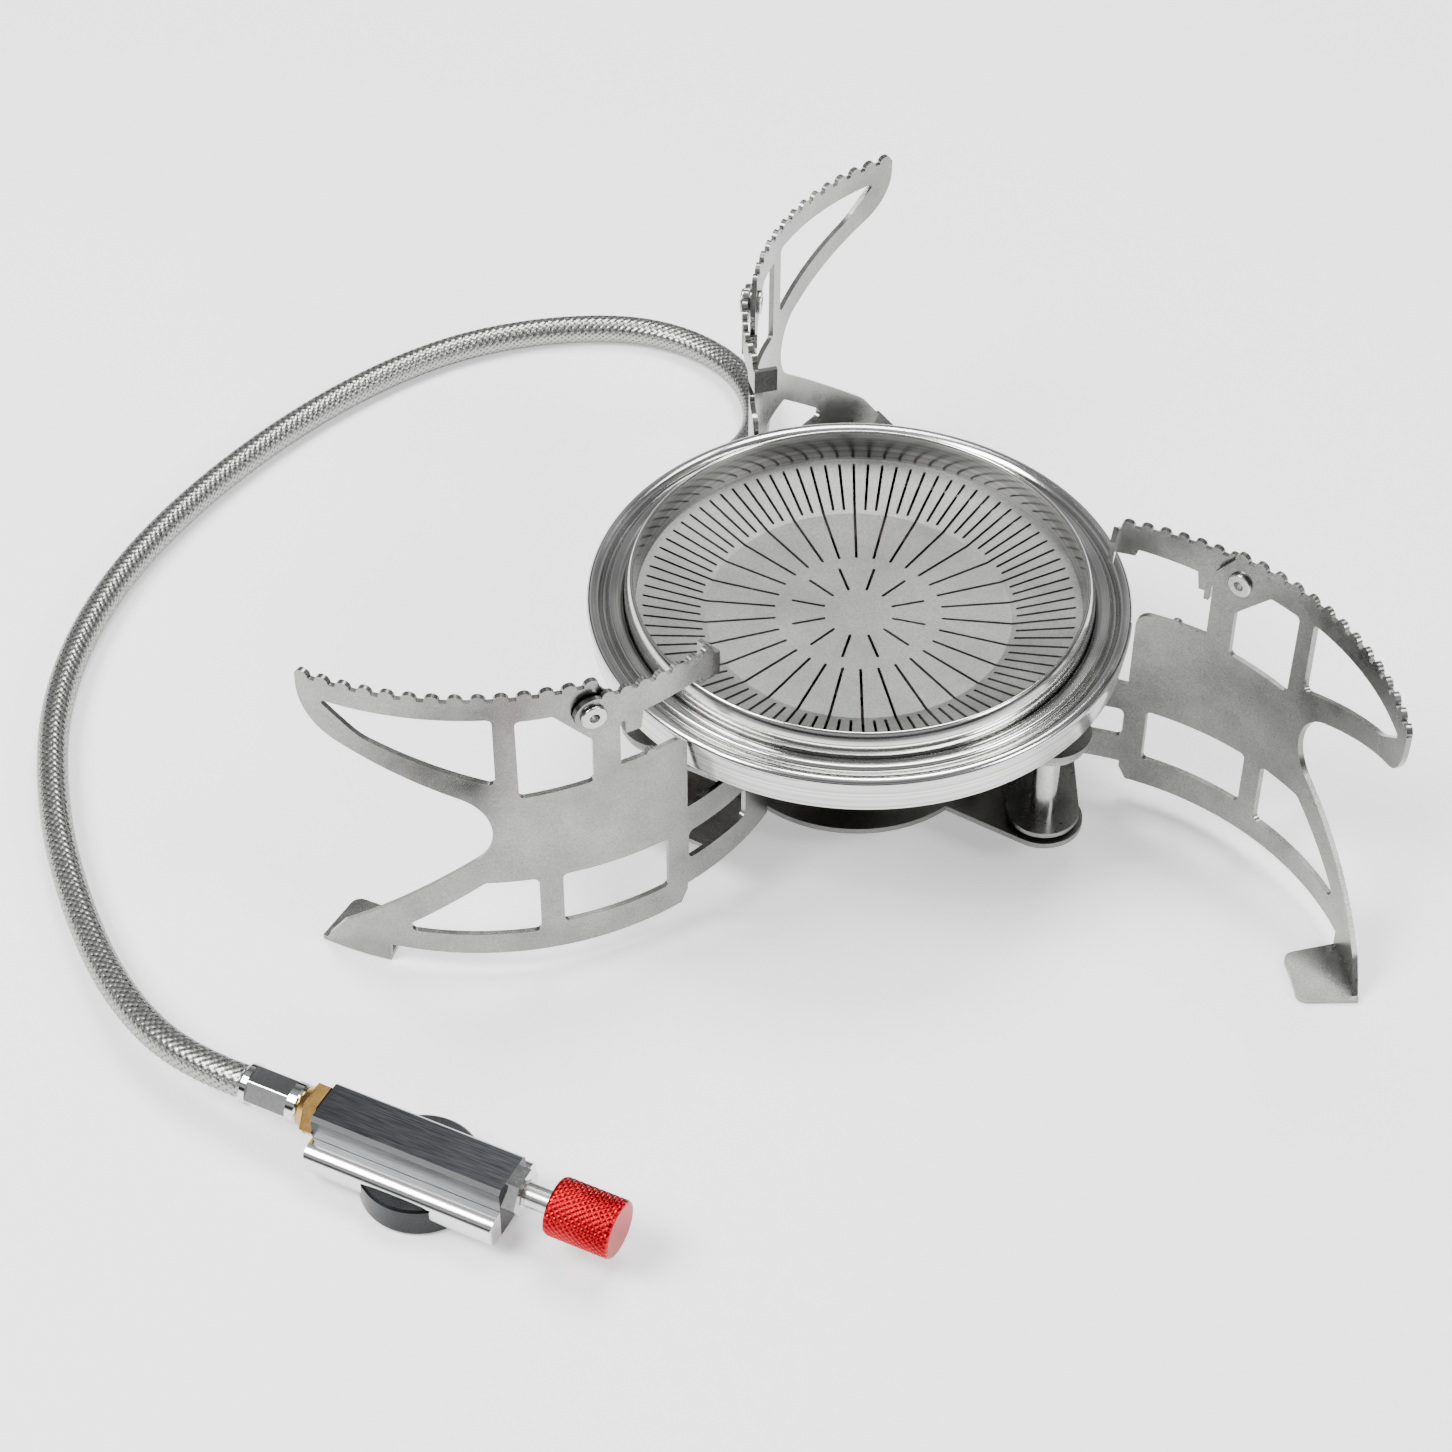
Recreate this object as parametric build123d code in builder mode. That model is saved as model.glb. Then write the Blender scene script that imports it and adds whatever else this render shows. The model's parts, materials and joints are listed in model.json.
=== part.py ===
from build123d import *
import os
from math import cos, hypot, pi, radians, sin, tan

os.makedirs("parts", exist_ok=True)

# A remote-canister camping stove, in millimetres. The origin is on the ground
# under the middle of the burner, +Z is up. Angles are about +Z from +X.

# Legs: curved sheets that swing about upright pins under the burner
leg_count = 3
leg_turn = 360 / leg_count
sheet = 1.0
leg_radius = 58.2  # middle of the sheet, about the leg's own arc centre
pivot_radius = 40.7
pivot_angle = -31.9
fold_angle = 115.83  # brings each leg's arc centre onto the burner's axis
foot_end = 1.1
foot_back = 14.6
neck_angle = 56.9
body_end = 70.1
root_end = 93.0
tooth_top = 67.0
tooth_pitch = 3.79
tooth_count = 14
tooth_radius = 1.35
body_top = 45.6
root_bottom = 8.3
root_top = 27.8
low_edge = 4.2
ear_width = 13.5
bump_angle = 62.7
foot_depth = 10.0

# Toothed fingers riveted to the legs
rivet_angle = 51.7
rivet_height = 60.5
rivet_radius = 2.35
finger_gap = 0.5
finger_end = 76.2
shank_radius = 1.5

# Brackets, pins and burner
pin_radius = 1.6
spacer_radius = 2.35
low_bracket = 6.3
high_bracket = 28.3
bracket_thick = 1.2
bracket_disc = 25.5
arm_half_width = 7.5
pan_radius = 50.0
pan_top = 43.8
head_radius = 43.0
head_top = 48.0
tube_radius = 9.0
plate_radius = 41.0
slot_width = 0.55
dish_floor = 37.9
dish_rim = 40.9
dish_bend = 28.4
plate_thick = 0.6
cup_floor = 30.3
flange_radius = 14.0
screw_circle = 12.0
screw_bearing = 28.0
jet_height = 16.0
inlet_angle = 125.0
inlet_reach = 13.5

# Valve unit: screws onto the gas canister and stands beside the burner
valve_x = -75.3
valve_y = -103.1
valve_angle = -25.7
collar_radius = 10.6
collar_height = 6.2
thread_radius = 5.55
thread_depth = 4.0
block_half = 18.0
ridge_half = 4.55
ridge_top = 13.0
wing_half = 8.4
wing_top = 8.0
wing_bottom = 2.0
stem_height = 9.3
stem_radius = 2.15
running_gap = 0.05
knob_radius = 5.15
knob_start = 26.0
knob_end = 38.0
ferrule_start = 22.0
ferrule_end = 33.5
ferrule_radius = 3.75
hose_diameter = 6.0

# Worked-out places
pivot_x = pivot_radius * cos(radians(pivot_angle))
pivot_y = pivot_radius * sin(radians(pivot_angle))
centre_bearing = radians(pivot_angle + 180 + fold_angle)
arc_x = pivot_x + pivot_radius * cos(centre_bearing)
arc_y = pivot_y + pivot_radius * sin(centre_bearing)
inside = leg_radius - sheet / 2
outside = leg_radius + sheet / 2
root_edge = arc_y + leg_radius + 1  # past the sheet, so that the ears run into it


def wall_plane(angle):
    """Plane through the arc centre that faces the sheet at an angle: x along it, y up."""
    a = radians(angle)
    return Plane(origin=(arc_x, arc_y, 0), x_dir=(-sin(a), cos(a), 0), z_dir=(cos(a), sin(a), 0))


def on_wall(middle, points):
    """Points given as angle and height, laid on the wall plane at the middle angle."""
    return [(leg_radius * sin(radians(a - middle)), z) for a, z in points]


def sector(r_in, r_out, start, end):
    """Draws a band of the leg's plan between two radii and two angles."""
    with BuildLine() as outline:
        inner = CenterArc((arc_x, arc_y), r_in, start, end - start)
        outer = CenterArc((arc_x, arc_y), r_out, start, end - start)
        Line(inner @ 0, outer @ 0)
        Line(inner @ 1, outer @ 1)
    make_face(outline.edges())


def cut_wall(middle, corner, points):
    """Cuts a window with rounded corners through the sheet."""
    with BuildSketch(wall_plane(middle)) as window:
        with BuildLine():
            FilletPolyline(*on_wall(middle, points), radius=corner, close=True)
        make_face()
    extrude(window.sketch, amount=2 * leg_radius, mode=Mode.SUBTRACT)


def leg_copies(master, name):
    """Turns the master piece to each of the three places and writes one file for each."""
    for i, place in enumerate(("right", "back", "left")):
        copy = master.part.rotate(Axis.Z, i * leg_turn)
        copy.label = f"{name}_{place}"
        export_step(copy, f"parts/{name}_{place}.step")


def save(piece, name):
    """Labels a finished piece and writes its file."""
    piece.part.label = name
    export_step(piece.part, f"parts/{name}.step")


# Leg: foot and claw, toothed beam, neck, body and root arm, one bent sheet
beam_top = tooth_top - tooth_radius
bands = (
    (foot_end, foot_back, 0, beam_top),
    (foot_back, neck_angle, low_edge, beam_top),
    (neck_angle, body_end, low_edge, body_top),
    (body_end, root_end, root_bottom, root_top),
)
claw_cut = ((-6, -10), (6, 7), (42.8, 37.1), (1.3, 56.2), (1.3, 75), (-9, 75))
claw_rounds = (1, 4, 9.3, 11, 1, 1)
crescent = ((35.3, 61.7), (35.3, 46.0), (12.5, 55.4), (5.2, 61.7))
crescent_rounds = (1, 1, 11, 0.5)
hexagon = ((38.8, 60.8), (45.3, 60.8), (52, 53.5), (52, 43.6), (39, 42.6))
beam_window = ((41.8, 22.4), (32.5, 22.3), (24, 15.2), (16.6, 9), (41.8, 9.0))
body_window = ((45.8, 22.5), (66, 22.5), (66, 10.4), (45.8, 10.4))
root_slot = ((70.3, 21.4), (85.2, 21.4), (85.2, 14.5), (70.3, 14.5))
shoulder_cut = ((52.9, 68.5), (52.9, 65.8), (57.1, 60.4), (60, 60.4), (60, 68.5))
body_corner = (
    (66.6, 47), (71.5, 47), (71.5, 42), (body_end, 42), (body_end, body_top), (66.6, body_top),
)
heel_cut = ((67.6, 2.5), (68.8, 4.5), (70.6, 7.9), (72.4, 8.6), (72.4, 2.5))
with BuildPart() as leg:
    for start, end, low, high in bands:
        with BuildSketch(Plane.XY.offset(low)):
            sector(inside, outside, start, end)
        extrude(amount=high - low)
    cut_wall(17.5, claw_rounds, claw_cut)
    cut_wall(20, crescent_rounds, crescent)
    cut_wall(45, 1.0, hexagon)
    cut_wall(30, 1.2, beam_window)
    cut_wall(56, 1.0, body_window)
    cut_wall(78, 1.2, root_slot)
    cut_wall(56, 0.4, shoulder_cut)
    cut_wall(70, 0.5, heel_cut)
    cut_wall(body_end, (0.3, 0.3, 0.3, 0.3, 2.8, 0.3), body_corner)
    for i in range(tooth_count):
        with BuildSketch(wall_plane(foot_end + tooth_pitch * (i + 0.45)).offset(inside)):
            with Locations((0, beam_top)):
                Circle(tooth_radius)
        extrude(amount=sheet)
    with BuildSketch(wall_plane(bump_angle).offset(inside)):
        with Locations((0, body_top - 0.2)):
            Circle(1.0)
    extrude(amount=sheet)
    # Foot tab, bent flat to rest on the ground
    with BuildSketch(Plane.XY):
        sector(inside - foot_depth, outside, foot_end, foot_back)
        tip_corners = [v for v in vertices() if hypot(v.X - arc_x, v.Y - arc_y) < inside - 1]
        fillet(tip_corners, radius=2)
    extrude(amount=sheet)
    # Ears, bent towards the pin above and below the root arm
    for low in (root_bottom, root_top - sheet):
        with BuildSketch(Plane.XY.offset(low)):
            with Locations((pivot_x, (pivot_y + root_edge) / 2)):
                Rectangle(ear_width, root_edge - pivot_y)
            with Locations((pivot_x, pivot_y)):
                Circle(ear_width / 2)
            with Locations((arc_x, arc_y)):
                Circle(outside, mode=Mode.INTERSECT)
            with Locations((pivot_x, pivot_y)):
                Circle(pin_radius + running_gap, mode=Mode.SUBTRACT)
        extrude(amount=sheet)
    with BuildSketch(wall_plane(rivet_angle)):
        with Locations((0, rivet_height)):
            Circle(shank_radius + running_gap)
    extrude(amount=2 * leg_radius, mode=Mode.SUBTRACT)
leg_copies(leg, "leg")

# Finger: toothed strip on the leg's outer face, hooked round the neck as a stop
finger_in = outside + finger_gap
finger_out = finger_in + sheet
finger_outline = (
    (51.7, 63.8), (55, 63.8), (74.8, 63.6), (76.2, 62.0), (76.2, 57.5), (72, 57.5), (71.5, 59),
    (60.5, 58), (60, 54.2), (57.25, 54.2), (57.0, 57.2), (51.7, 57.0),
)
with BuildPart() as finger:
    with BuildSketch(Plane.XY.offset(50)):
        sector(finger_in, finger_out, rivet_angle - 6, finger_end)
    extrude(amount=20)
    with BuildSketch(wall_plane(62)):
        with BuildLine():
            Polyline(*on_wall(62, finger_outline), close=True)
        make_face()
        with Locations(on_wall(62, [(rivet_angle, rivet_height)])[0]):
            Circle(3.5)
    extrude(amount=2 * leg_radius, mode=Mode.INTERSECT)
    for i in range(7):
        with BuildSketch(wall_plane(54.4 + 3.2 * i).offset(finger_in)):
            with Locations((0, 63.7)):
                Circle(1.2)
        extrude(amount=sheet)
    # Stop hook round the neck's edge, and the flap bent in at the tip
    with BuildSketch(Plane.XY.offset(54.2)):
        sector(inside - 0.5, finger_out, 57.25, 58.2)
    extrude(amount=2.6)
    with BuildSketch(Plane.XY.offset(57.5)):
        sector(inside - 2, finger_out, finger_end - 1, finger_end)
    extrude(amount=5)
    with BuildSketch(wall_plane(rivet_angle)):
        with Locations((0, rivet_height)):
            Circle(shank_radius + running_gap)
    extrude(amount=2 * leg_radius, mode=Mode.SUBTRACT)
leg_copies(finger, "finger")

# Hollow rivet through leg, washer and finger, turned about the radial line
rivet_plane = wall_plane(rivet_angle)
rivet_centre = rivet_plane.from_local_coords((0, rivet_height, 0))
rivet_axis = Plane(origin=rivet_centre, x_dir=rivet_plane.x_dir, z_dir=rivet_plane.z_dir)
with BuildPart() as rivet:
    with BuildSketch(rivet_axis.offset(inside - 0.8)):
        Circle(rivet_radius)
    extrude(amount=0.75)
    with BuildSketch(rivet_axis.offset(inside - 0.8)):
        Circle(shank_radius)
    extrude(amount=finger_out - inside + 1.6)
    with BuildSketch(rivet_axis.offset(finger_out + 0.05)):
        Circle(rivet_radius)
    extrude(amount=0.75)
    fillet(edges().group_by(SortBy.LENGTH)[-1], radius=0.3)
    with BuildSketch(rivet_axis):
        Circle(0.95)
    extrude(amount=2 * leg_radius, mode=Mode.SUBTRACT)
leg_copies(rivet, "rivet")

with BuildPart() as rivet_washer:
    with BuildSketch(rivet_axis.offset(outside + 0.03)):
        Circle(2.3)
        Circle(shank_radius + running_gap, mode=Mode.SUBTRACT)
    extrude(amount=0.36)
leg_copies(rivet_washer, "finger_washer")

# Brackets above and below the legs' ears
def bracket(low, tube_hole):
    """Three-armed plate with holes for the hinge pins, the middle and three screws."""
    with BuildSketch(Plane.XY.offset(low)) as outline:
        Circle(bracket_disc)
        for i in range(leg_count):
            with Locations(Rotation(0, 0, pivot_angle + i * leg_turn)):
                with Locations((pivot_radius / 2, 0)):
                    Rectangle(pivot_radius, 2 * arm_half_width)
                with Locations((pivot_radius, 0)):
                    Circle(arm_half_width)
        with PolarLocations(pivot_radius, leg_count, start_angle=pivot_angle):
            Circle(pin_radius + running_gap, mode=Mode.SUBTRACT)
        with PolarLocations(screw_circle, leg_count, start_angle=screw_bearing):
            Circle(1.55, mode=Mode.SUBTRACT)
        Circle(tube_hole, mode=Mode.SUBTRACT)
    extrude(outline.sketch, amount=bracket_thick)


with BuildPart() as lower_bracket:
    bracket(low_bracket, 4.0)
    # Stops, bent up beside each leg's root
    for i in range(leg_count):
        stop_frame = Plane.XY.offset(low_bracket).rotated((0, 0, i * leg_turn))
        with BuildSketch(stop_frame):
            with Locations((20.5, -13.5)):
                Rectangle(5.0, sheet, rotation=-30)
        extrude(amount=5.5)
save(lower_bracket, "lower_bracket")

with BuildPart() as upper_bracket:
    bracket(high_bracket, tube_radius + 0.1)
save(upper_bracket, "upper_bracket")

# Hinge pins with the spacers and washers on them
for i, place in enumerate(("right", "back", "left")):
    bearing = radians(pivot_angle + i * leg_turn)
    spot = (pivot_radius * cos(bearing), pivot_radius * sin(bearing))
    with BuildPart() as hinge_pin:
        with BuildSketch(Plane.XY.offset(low_bracket - 1.0)):
            with Locations(spot):
                Circle(2.6)
        extrude(amount=1.0)
        with BuildSketch(Plane.XY.offset(low_bracket - 1.0)):
            with Locations(spot):
                Circle(pin_radius)
        extrude(amount=high_bracket - low_bracket + bracket_thick + 2.0)
        with BuildSketch(Plane.XY.offset(high_bracket + bracket_thick)):
            with Locations(spot):
                Circle(2.6)
        extrude(amount=1.0)
    save(hinge_pin, f"hinge_pin_{place}")
    with BuildPart() as hinge_spacer:
        with BuildSketch(Plane.XY.offset(root_bottom + sheet + 0.05)):
            with Locations(spot):
                Circle(spacer_radius)
                Circle(pin_radius + running_gap, mode=Mode.SUBTRACT)
        extrude(amount=root_top - root_bottom - 2 * sheet - 0.1)
    save(hinge_spacer, f"hinge_spacer_{place}")

with BuildPart() as hinge_washers:
    gaps = ((low_bracket + bracket_thick, root_bottom), (root_top, high_bracket))
    for low, high in gaps:
        with BuildSketch(Plane.XY.offset(low + 0.02)):
            with PolarLocations(pivot_radius, leg_count, start_angle=pivot_angle):
                Circle(4.0)
                Circle(pin_radius + running_gap, mode=Mode.SUBTRACT)
        extrude(amount=high - low - 0.04)
save(hinge_washers, "hinge_washers")

# Mixing tube: stands between the brackets, with air windows and the jet inside
with BuildPart() as mixing_tube:
    with BuildSketch(Plane.XY.offset(low_bracket + bracket_thick)):
        Circle(flange_radius)
    extrude(amount=2.0)
    with BuildSketch(Plane.XY.offset(low_bracket + bracket_thick)):
        Circle(tube_radius)
    extrude(amount=cup_floor + 1.2 - low_bracket - bracket_thick)
    with BuildSketch(Plane.XY.offset(low_bracket + bracket_thick + 2.0)):
        Circle(tube_radius - 1.2)
    extrude(amount=30, mode=Mode.SUBTRACT)
    with BuildSketch(Plane.XY.offset(21.5)):
        with PolarLocations(tube_radius, 4, start_angle=10):
            Rectangle(6, 5)
    extrude(amount=5, mode=Mode.SUBTRACT)
    inlet = Plane(
        origin=(0, 0, jet_height),
        x_dir=(-sin(radians(inlet_angle)), cos(radians(inlet_angle)), 0),
        z_dir=(cos(radians(inlet_angle)), sin(radians(inlet_angle)), 0),
    )
    with BuildSketch(inlet):
        Circle(3.2)
    extrude(amount=tube_radius + 1, mode=Mode.SUBTRACT)
    with BuildSketch(Plane.XY.offset(low_bracket)):
        with PolarLocations(screw_circle, leg_count, start_angle=screw_bearing):
            Circle(1.5)
    extrude(amount=5, mode=Mode.SUBTRACT)
save(mixing_tube, "mixing_tube")

with BuildPart() as jet_holder:
    with BuildSketch(Plane.XY.offset(low_bracket + bracket_thick + 2.0)):
        RegularPolygon(radius=5.5, side_count=6)
    extrude(amount=jet_height + 3 - low_bracket - bracket_thick - 2.0)
    with BuildSketch(inlet):
        Circle(3.0)
    extrude(amount=inlet_reach)
    with BuildSketch(inlet):
        Circle(1.2)
    extrude(amount=inlet_reach, mode=Mode.SUBTRACT)
    with BuildSketch(Plane.XY.offset(jet_height)):
        Circle(1.2)
    extrude(amount=5, mode=Mode.SUBTRACT)
save(jet_holder, "jet_holder")

with BuildPart() as jet_nozzle:
    with BuildSketch(Plane.XY.offset(jet_height + 3)):
        RegularPolygon(radius=3.2, side_count=6)
    extrude(amount=2)
    with BuildSketch(Plane.XY.offset(jet_height + 5)):
        Circle(2.0)
    extrude(amount=1.5)
    with BuildSketch(Plane.XY.offset(jet_height + 3)):
        Circle(0.25)
    extrude(amount=4, mode=Mode.SUBTRACT)
save(jet_nozzle, "jet_nozzle")

with BuildPart() as bracket_screws:
    for head, shank in ((low_bracket - 1.2, 5.2), (high_bracket - 1.2, 3.9)):
        with BuildSketch(Plane.XY.offset(head)):
            with PolarLocations(screw_circle, leg_count, start_angle=screw_bearing):
                Circle(2.6)
        extrude(amount=1.2)
        with BuildSketch(Plane.XY.offset(head + 1.2)):
            with PolarLocations(screw_circle, leg_count, start_angle=screw_bearing):
                Circle(1.5)
        extrude(amount=shank - 2.0)
        with BuildSketch(Plane.XY.offset(head)):
            with PolarLocations(screw_circle, leg_count, start_angle=screw_bearing):
                Rectangle(3.6, 0.6)
        extrude(amount=0.6, mode=Mode.SUBTRACT)
save(bracket_screws, "bracket_screws")


def turned(points):
    """Turns a closed outline of radius and height about the burner's axis."""
    with BuildSketch(Plane.XZ) as outline:
        with BuildLine():
            Polyline(*points, close=True)
        make_face()
    revolve(outline.sketch, axis=Axis.Z)


# Burner cup, with the head wall round it
with BuildPart() as burner_cup:
    turned((
        (tube_radius, cup_floor), (30, cup_floor), (40.8, 33.0), (40.8, 36.5), (39.8, 36.5),
        (39.8, 33.9), (29.7, cup_floor + 1), (tube_radius, cup_floor + 1),
    ))
    with BuildSketch(Plane.XY.offset(cup_floor)):
        with PolarLocations(screw_circle, leg_count, start_angle=screw_bearing):
            Circle(1.5)
    extrude(amount=2, mode=Mode.SUBTRACT)
save(burner_cup, "burner_cup")

with BuildPart() as diffuser:
    with BuildSketch(Plane.XY.offset(34.2)):
        Circle(26)
        for ring, holes in ((8, 12), (14, 20), (20, 28)):
            with PolarLocations(ring, holes):
                Circle(1.2, mode=Mode.SUBTRACT)
    extrude(amount=0.6)
    with BuildSketch(Plane.XY.offset(cup_floor + 1)):
        with PolarLocations(24.5, 3, start_angle=screw_bearing + 40):
            Rectangle(1, 3)
    extrude(amount=34.2 - cup_floor - 1)
save(diffuser, "diffuser")

# Perforated plate: shallow dish with three rings of radial slots
with BuildPart() as burner_plate:
    turned((
        (0, dish_floor), (dish_bend, dish_floor), (plate_radius, dish_rim),
        (plate_radius, dish_rim + plate_thick), (dish_bend - 0.2, dish_floor + plate_thick),
        (0, dish_floor + plate_thick),
    ))
    slot_rings = ((6.3, 12.7, 12, 15), (15.3, 39.8, 30, 6), (29.0, 39.8, 30, 10), (29.0, 39.8, 30, 14))
    for start, end, count, bearing in slot_rings:
        with BuildSketch(Plane.XY.offset(36)):
            with PolarLocations((start + end) / 2, count, start_angle=bearing):
                SlotOverall(end - start, slot_width)
        extrude(amount=10, mode=Mode.SUBTRACT)
save(burner_plate, "burner_plate")

with BuildPart() as head_ring:
    turned((
        (plate_radius, 33.0), (head_radius - 0.6, 33.0), (head_radius, 40.5), (head_radius, 45.2),
        (head_radius - 0.3, 46.8), (head_radius - 0.9, 47.8), (head_radius - 1.4, head_top),
        (head_radius - 1.8, 47.7), (head_radius - 1.9, 42.0), (plate_radius, 41.5),
    ))
save(head_ring, "head_ring")

with BuildPart() as wind_pan:
    turned((
        (head_radius, 40.6), (head_radius + 0.9, 40.6), (head_radius + 0.9, 41.9),
        (head_radius + 1.4, 42.5), (45.8, 42.5), (46.1, 41.4), (47.2, 41.4), (47.5, 42.4),
        (48.9, 42.4), (49.1, 41.9), (48.5, 36.5), (49.3, 36.5), (pan_radius, 42.4),
        (49.8, 43.2), (49.0, pan_top), (47.9, 43.6), (47.1, 42.9), (46.9, 42.3), (46.4, 42.3),
        (46.1, 43.1), (45.7, 43.5), (44.2, 43.5), (head_radius + 0.3, 43.0), (head_radius, 42.2),
    ))
save(wind_pan, "wind_pan")

# Valve unit, drawn about the canister's own axis with its length along x
valve = Plane(origin=(valve_x, valve_y, 0),
              x_dir=(cos(radians(valve_angle)), sin(radians(valve_angle)), 0), z_dir=(0, 0, 1))
stem = Plane(origin=valve.from_local_coords((0, 0, stem_height)), x_dir=valve.y_dir, z_dir=valve.x_dir)
tail = Plane(origin=stem.origin, x_dir=-stem.x_dir, z_dir=-stem.z_dir)

with BuildPart() as canister_collar:
    with BuildSketch(valve):
        Circle(collar_radius)
    extrude(amount=collar_height)
    chamfer(edges().filter_by(GeomType.CIRCLE), length=0.4)
    with BuildSketch(valve):
        Circle(thread_radius)
    extrude(amount=thread_depth, mode=Mode.SUBTRACT)
    # Run-out groove above the thread
    with BuildSketch(valve.offset(thread_depth)):
        Circle(thread_radius + 0.4)
    extrude(amount=collar_height - thread_depth, mode=Mode.SUBTRACT)
save(canister_collar, "canister_collar")

# Valve body: ridge along the top between rounded wings
section = stem.offset(-block_half - 1)
with BuildPart() as valve_body:
    with BuildSketch(section) as profile:
        with Locations((0, (wing_bottom + wing_top) / 2 - stem_height)):
            RectangleRounded(2 * wing_half, wing_top - wing_bottom, 2.6)
        with Locations((0, (wing_bottom + ridge_top) / 2 - stem_height)):
            Rectangle(2 * ridge_half, ridge_top - wing_bottom)
        chamfer(vertices().group_by(Axis.Y)[-1], length=0.7)
    extrude(amount=2 * block_half + 2)
    with BuildSketch(valve):
        Rectangle(2 * block_half, 2 * wing_half + 1)
        fillet(vertices(), radius=1.5)
    extrude(amount=20, mode=Mode.INTERSECT)
    with BuildSketch(valve):
        Circle(collar_radius + 0.05)
    extrude(amount=collar_height, mode=Mode.SUBTRACT)
    with BuildSketch(valve.offset(collar_height)):
        Circle(4.6)
    extrude(amount=1.2, mode=Mode.SUBTRACT)
    with BuildSketch(valve.offset(collar_height)):
        Circle(1.05)
    extrude(amount=2.6, mode=Mode.SUBTRACT)
    with BuildSketch(stem.offset(5)):
        Circle(stem_radius + running_gap)
    extrude(amount=20, mode=Mode.SUBTRACT)
    with BuildSketch(stem.offset(13)):
        Circle(stem_radius + 1)
    extrude(amount=1.4, mode=Mode.SUBTRACT)
    with BuildSketch(tail.offset(-6)):
        Circle(1.2)
    extrude(amount=40, mode=Mode.SUBTRACT)
save(valve_body, "valve_body")

with BuildPart() as collar_seal:
    with BuildSketch(valve.offset(collar_height)):
        Circle(4.6)
        Circle(2.0, mode=Mode.SUBTRACT)
    extrude(amount=1.2)
save(collar_seal, "collar_seal")

with BuildPart() as depressor_pin:
    with BuildSketch(valve.offset(thread_depth + 0.3)):
        Circle(1.0)
    extrude(amount=3.9)
    fillet(edges().sort_by(Axis.Z)[0], radius=0.4)
save(depressor_pin, "depressor_pin")

with BuildPart() as stem_seal:
    with BuildSketch(stem.offset(13)):
        Circle(stem_radius + 1)
        Circle(stem_radius + running_gap, mode=Mode.SUBTRACT)
    extrude(amount=1.4)
save(stem_seal, "stem_seal")

with BuildPart() as gland_nut:
    with BuildSketch(stem.offset(block_half)):
        RegularPolygon(radius=4.4, side_count=6)
        Circle(stem_radius + running_gap, mode=Mode.SUBTRACT)
    extrude(amount=2.5)
    chamfer(edges().group_by(SortBy.LENGTH)[-1], length=0.3)
save(gland_nut, "gland_nut")

with BuildPart() as spindle:
    with BuildSketch(stem.offset(7.5)):
        Circle(stem_radius)
    extrude(amount=knob_end - 3 - 7.5)
    with BuildSketch(stem.offset(6.2)):
        Circle(stem_radius)
    extrude(amount=1.3, taper=35)
save(spindle, "spindle")

set_screw_spot = stem.offset(knob_start + 3).origin
with BuildPart() as knob:
    with BuildSketch(stem.offset(knob_start)):
        Circle(knob_radius)
    extrude(amount=knob_end - knob_start)
    chamfer(edges().filter_by(GeomType.CIRCLE), length=0.5)
    with BuildSketch(stem.offset(knob_start)):
        Circle(stem_radius)
    extrude(amount=knob_end - 3 - knob_start, mode=Mode.SUBTRACT)
    with BuildSketch(Plane(origin=set_screw_spot, z_dir=(0, 0, -1))):
        Circle(1.2)
    extrude(amount=knob_radius + 1, mode=Mode.SUBTRACT)
    # Knurl: straight grooves round the grip
    with BuildSketch(stem.offset(knob_start)):
        with PolarLocations(knob_radius + 0.15, 30):
            Circle(0.35)
    extrude(amount=knob_end - knob_start, mode=Mode.SUBTRACT)
save(knob, "knob")

with BuildPart() as knob_screw:
    with BuildSketch(Plane(origin=set_screw_spot, z_dir=(0, 0, -1)).offset(stem_radius + 0.02)):
        Circle(1.15)
    extrude(amount=2.4)
    with BuildSketch(Plane(origin=set_screw_spot, z_dir=(0, 0, -1)).offset(knob_radius - 1.6)):
        RegularPolygon(radius=0.6, side_count=6)
    extrude(amount=2, mode=Mode.SUBTRACT)
save(knob_screw, "knob_screw")

with BuildPart() as inlet_nut:
    with BuildSketch(tail.offset(block_half)):
        RegularPolygon(radius=4.9, side_count=6)
    extrude(amount=ferrule_start - block_half)
    with BuildSketch(tail.offset(block_half)):
        Circle(4.9)
    extrude(amount=(ferrule_start - block_half) / 2 + 0.4, taper=-1, mode=Mode.INTERSECT)
    with BuildSketch(tail.offset((ferrule_start + block_half) / 2 + 0.3)):
        Circle(4.4)
    extrude(amount=(ferrule_start - block_half) / 2 - 0.3, taper=28)
    with BuildSketch(tail.offset(block_half)):
        Circle(1.2)
    extrude(amount=10, mode=Mode.SUBTRACT)
save(inlet_nut, "inlet_nut")

with BuildPart() as valve_ferrule:
    with BuildSketch(tail.offset(ferrule_start)):
        Circle(ferrule_radius)
    extrude(amount=ferrule_end - ferrule_start)
    chamfer(edges().filter_by(GeomType.CIRCLE), length=0.4)
    with BuildSketch(tail.offset(ferrule_start + 2)):
        Circle(ferrule_radius + 1)
        RegularPolygon(radius=ferrule_radius + 0.05, side_count=6, mode=Mode.SUBTRACT)
    extrude(amount=ferrule_end - ferrule_start - 3.5, mode=Mode.SUBTRACT)
save(valve_ferrule, "valve_ferrule")

with BuildPart() as burner_ferrule:
    with BuildSketch(inlet.offset(inlet_reach)):
        Circle(ferrule_radius)
    extrude(amount=ferrule_end - ferrule_start)
    chamfer(edges().filter_by(GeomType.CIRCLE), length=0.4)
save(burner_ferrule, "burner_ferrule")

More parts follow.
